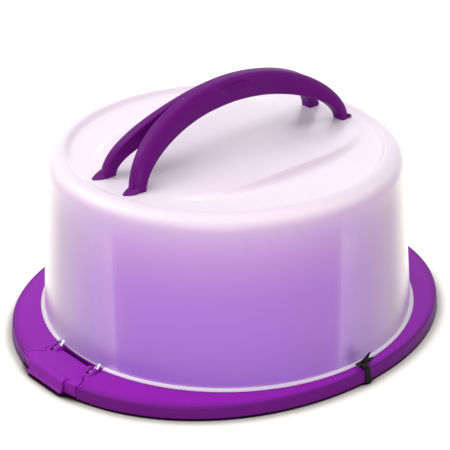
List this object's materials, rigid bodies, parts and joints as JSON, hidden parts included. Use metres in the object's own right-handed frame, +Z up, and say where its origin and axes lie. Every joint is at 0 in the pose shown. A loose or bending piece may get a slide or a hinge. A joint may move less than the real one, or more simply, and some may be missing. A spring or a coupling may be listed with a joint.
{
  "type": "cake carrier with hinged lid",
  "caption": "Oval cake tray with a round translucent lid that hinges at the back, a fixed forked carrying handle and a flip-up front latch.",
  "frame": {"origin": "centre of the tray at the table surface", "axes": "+Z up, -Y towards the front latch, +Y towards the hinge, +X towards the side with the tie; the handle runs along Y"},
  "size_m": [0.341, 0.3884, 0.212],
  "materials": {
    "tray_plastic": "satin moulded polypropylene, purple",
    "lid_plastic": "frosted translucent polypropylene, smooth",
    "handle_plastic": "satin moulded polypropylene, deep purple",
    "clip_plastic": "satin moulded polypropylene, purple",
    "rod_steel": "plain drawn steel rod",
    "tie_plastic": "black woven plastic tie"
  },
  "bodies": {
    "base": {"base_tray": "tray_plastic", "rear_hinge_clip": "clip_plastic", "rear_hinge_rod": "rod_steel", "tie_band": "tie_plastic", "tie_knot": "tie_plastic"},
    "lid": {"lid_dome": "lid_plastic", "carry_handle": "handle_plastic", "front_latch_rod": "rod_steel"},
    "latch": {"front_latch": "clip_plastic"}
  },
  "joints": [
    {"name": "lid_hinge", "type": "hinge", "parent": "base", "child": "lid", "pos_m": [0, 0.1632, 0.0098], "axis": [-1, 0, 0], "range_deg": [0, 95]},
    {"name": "latch_flip", "type": "hinge", "parent": "lid", "child": "latch", "pos_m": [0, -0.1632, 0.0098], "axis": [-1, 0, 0], "range_deg": [0, 95]}
  ]
}
